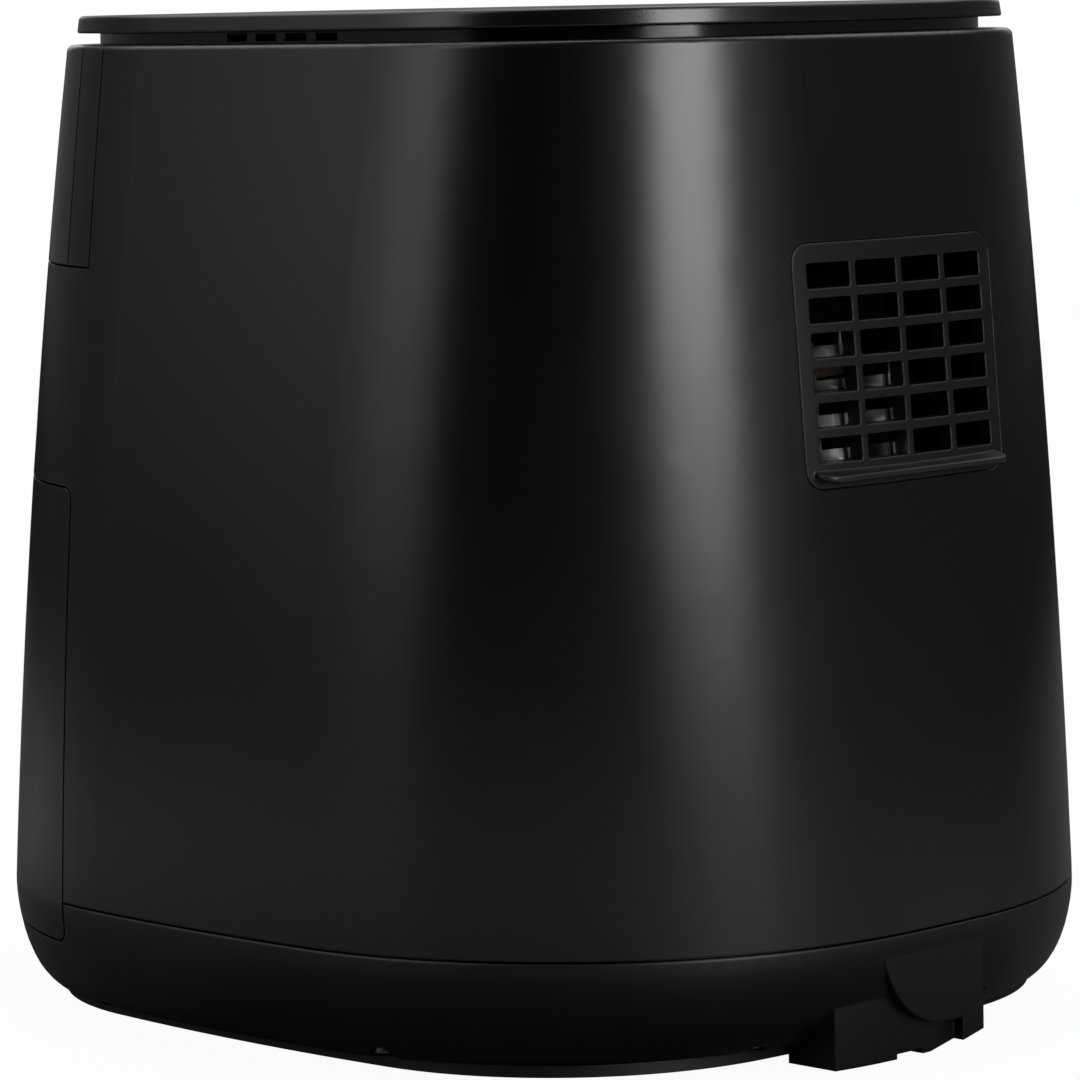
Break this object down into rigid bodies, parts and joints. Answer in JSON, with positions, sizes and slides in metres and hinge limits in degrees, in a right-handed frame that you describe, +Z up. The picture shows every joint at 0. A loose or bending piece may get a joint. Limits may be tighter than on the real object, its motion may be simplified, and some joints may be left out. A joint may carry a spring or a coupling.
{
  "type": "drawer air fryer",
  "caption": "Tapered drawer air fryer with a floating top cap, rear exhaust grille, sliding pan with lift-out crisper tray, and a top heater with its fan.",
  "frame": {"origin": "middle of the footprint, drawer handle included, on the plane the feet stand on", "axes": "+Z up, -Y towards the drawer and its handle, +Y towards the exhaust grille, +X to the right from the front"},
  "size_m": [0.2838, 0.3647, 0.3022],
  "materials": {
    "shell_plastic": "satin black moulded plastic",
    "trim_plastic": "matt black moulded plastic",
    "gloss_cap": "polished black plastic",
    "inner_plastic": "dark grey moulded plastic",
    "sheet_steel": "bright pressed sheet steel",
    "nonstick": "dark grey non-stick coating",
    "rubber": "black rubber",
    "fasteners": "dark plated steel",
    "circuit_board": "green board lacquer",
    "display": "dark display window",
    "heater_metal": "heat-tinted steel tube",
    "motor_metal": "grey lacquered steel",
    "bare_steel": "ground steel",
    "fan_aluminium": "pressed aluminium",
    "bronze": "sintered bronze",
    "sensor_body": "pale ceramic and plastic",
    "probe_steel": "polished steel",
    "magnet": "sintered magnet"
  },
  "bodies": {
    "housing": {"main_shell": "shell_plastic", "base_shell": "shell_plastic", "panel_frame": "shell_plastic", "base_plate": "trim_plastic", "intake_ring": "trim_plastic", "vent_grille": "trim_plastic", "top_plate": "gloss_cap", "panel_fascia": "gloss_cap", "drawer_bay": "inner_plastic", "drawer_rails": "inner_plastic", "board_carrier": "inner_plastic", "exhaust_duct": "inner_plastic", "inner_chamber": "sheet_steel", "heat_shield": "sheet_steel", "exhaust_baffle": "sheet_steel", "reflector": "sheet_steel", "heater_brackets": "sheet_steel", "motor_bracket": "sheet_steel", "rubber_feet": "rubber", "cord_gland": "rubber", "base_screws": "fasteners", "control_board": "circuit_board", "power_board": "circuit_board", "display_module": "display", "heater_element": "heater_metal", "heater_guard": "heater_metal", "motor_body": "motor_metal", "motor_bushes": "bronze", "thermal_cutout": "sensor_body", "drawer_sensor": "sensor_body", "temperature_probe": "probe_steel"},
    "fan_rotor": {"motor_shaft": "bare_steel", "motor_rotor": "motor_metal", "hot_air_fan": "fan_aluminium", "cooling_fan": "fan_aluminium", "fan_nut": "fasteners"},
    "drawer": {"drawer_front": "shell_plastic", "drawer_liner": "inner_plastic", "drawer_pan": "nonstick", "drawer_bracket": "sheet_steel", "handle": "shell_plastic", "handle_cover": "shell_plastic", "handle_screws": "fasteners", "drawer_magnet": "magnet"},
    "tray": {"crisper_plate": "nonstick", "tray_bumpers": "rubber"}
  },
  "joints": [
    {"name": "drawer_slide", "type": "slide", "parent": "housing", "child": "drawer", "axis": [0, -1, 0], "range_m": [0, 0.16]},
    {"name": "tray_lift", "type": "slide", "parent": "drawer", "child": "tray", "axis": [0, 0, 1], "range_m": [0, 0.09]},
    {"name": "fan_spin", "type": "hinge", "parent": "housing", "child": "fan_rotor", "pos_m": [0, 0.04004, 0.25], "axis": [0, 0, 1], "continuous": true}
  ]
}
